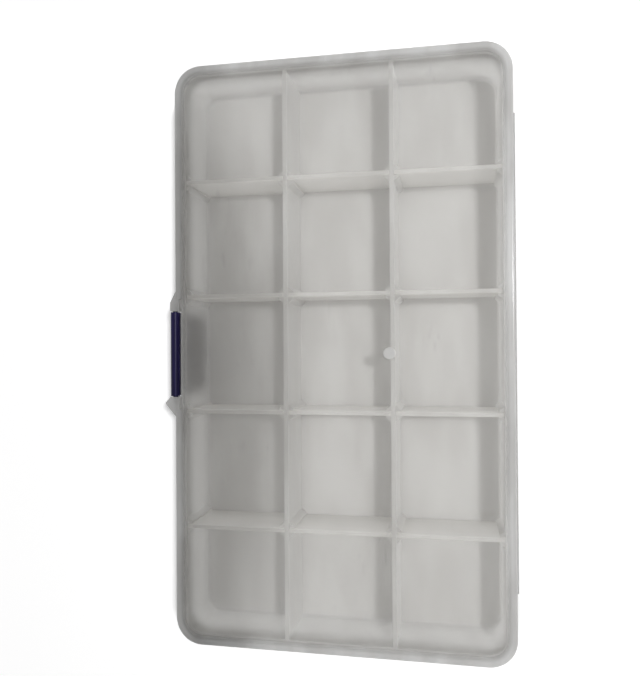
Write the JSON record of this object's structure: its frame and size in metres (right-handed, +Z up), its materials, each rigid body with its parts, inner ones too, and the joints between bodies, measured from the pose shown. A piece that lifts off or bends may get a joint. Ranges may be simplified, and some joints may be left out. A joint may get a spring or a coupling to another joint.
{
  "type": "small parts box",
  "caption": "Flat translucent parts box: a hinged lid over a tray of small cells, with loose dividers in slots and a coloured snap latch at the front.",
  "frame": {"origin": "centre of the tray's flat underside", "axes": "+X along the box, +Y towards the hinge side, so the latch is on the -Y side, +Z up through the lid"},
  "size_m": [0.175, 0.1044, 0.0226],
  "materials": {
    "milky_plastic": "translucent moulded polypropylene, milky",
    "clear_lid_plastic": "nearly clear moulded polypropylene",
    "divider_plastic": "translucent moulded polypropylene, milky",
    "navy_plastic": "opaque navy moulded plastic, satin to glossy"
  },
  "bodies": {
    "tray": {"base_tray": "milky_plastic", "living_hinge": "milky_plastic"},
    "lid": {"lid": "clear_lid_plastic"},
    "latch": {"latch": "navy_plastic"},
    "divider_front_1": {"divider_front_1": "divider_plastic"},
    "divider_front_2": {"divider_front_2": "divider_plastic"},
    "divider_front_3": {"divider_front_3": "divider_plastic"},
    "divider_front_4": {"divider_front_4": "divider_plastic"},
    "divider_middle_1": {"divider_middle_1": "divider_plastic"},
    "divider_middle_2": {"divider_middle_2": "divider_plastic"},
    "divider_middle_3": {"divider_middle_3": "divider_plastic"},
    "divider_middle_4": {"divider_middle_4": "divider_plastic"},
    "divider_back_1": {"divider_back_1": "divider_plastic"},
    "divider_back_2": {"divider_back_2": "divider_plastic"},
    "divider_back_3": {"divider_back_3": "divider_plastic"},
    "divider_back_4": {"divider_back_4": "divider_plastic"}
  },
  "joints": [
    {"name": "hinge_lid", "type": "hinge", "parent": "tray", "child": "lid", "pos_m": [0, 0.0512, 0.0141], "axis": [-1, 0, 0], "range_deg": [0, 180], "deforming": ["living_hinge"]},
    {"name": "latch_swing", "type": "hinge", "parent": "lid", "child": "latch", "pos_m": [0, -0.0506, 0.02025], "axis": [-1, 0, 0], "range_deg": [0, 150]},
    {"name": "lift_divider_front_1", "type": "slide", "parent": "tray", "child": "divider_front_1", "axis": [0, 0, 1], "range_m": [0, 0.0005]},
    {"name": "lift_divider_front_2", "type": "slide", "parent": "tray", "child": "divider_front_2", "axis": [0, 0, 1], "range_m": [0, 0.0005]},
    {"name": "lift_divider_front_3", "type": "slide", "parent": "tray", "child": "divider_front_3", "axis": [0, 0, 1], "range_m": [0, 0.0005]},
    {"name": "lift_divider_front_4", "type": "slide", "parent": "tray", "child": "divider_front_4", "axis": [0, 0, 1], "range_m": [0, 0.0005]},
    {"name": "lift_divider_middle_1", "type": "slide", "parent": "tray", "child": "divider_middle_1", "axis": [0, 0, 1], "range_m": [0, 0.0005]},
    {"name": "lift_divider_middle_2", "type": "slide", "parent": "tray", "child": "divider_middle_2", "axis": [0, 0, 1], "range_m": [0, 0.0005]},
    {"name": "lift_divider_middle_3", "type": "slide", "parent": "tray", "child": "divider_middle_3", "axis": [0, 0, 1], "range_m": [0, 0.0005]},
    {"name": "lift_divider_middle_4", "type": "slide", "parent": "tray", "child": "divider_middle_4", "axis": [0, 0, 1], "range_m": [0, 0.0005]},
    {"name": "lift_divider_back_1", "type": "slide", "parent": "tray", "child": "divider_back_1", "axis": [0, 0, 1], "range_m": [0, 0.0005]},
    {"name": "lift_divider_back_2", "type": "slide", "parent": "tray", "child": "divider_back_2", "axis": [0, 0, 1], "range_m": [0, 0.0005]},
    {"name": "lift_divider_back_3", "type": "slide", "parent": "tray", "child": "divider_back_3", "axis": [0, 0, 1], "range_m": [0, 0.0005]},
    {"name": "lift_divider_back_4", "type": "slide", "parent": "tray", "child": "divider_back_4", "axis": [0, 0, 1], "range_m": [0, 0.0005]}
  ]
}
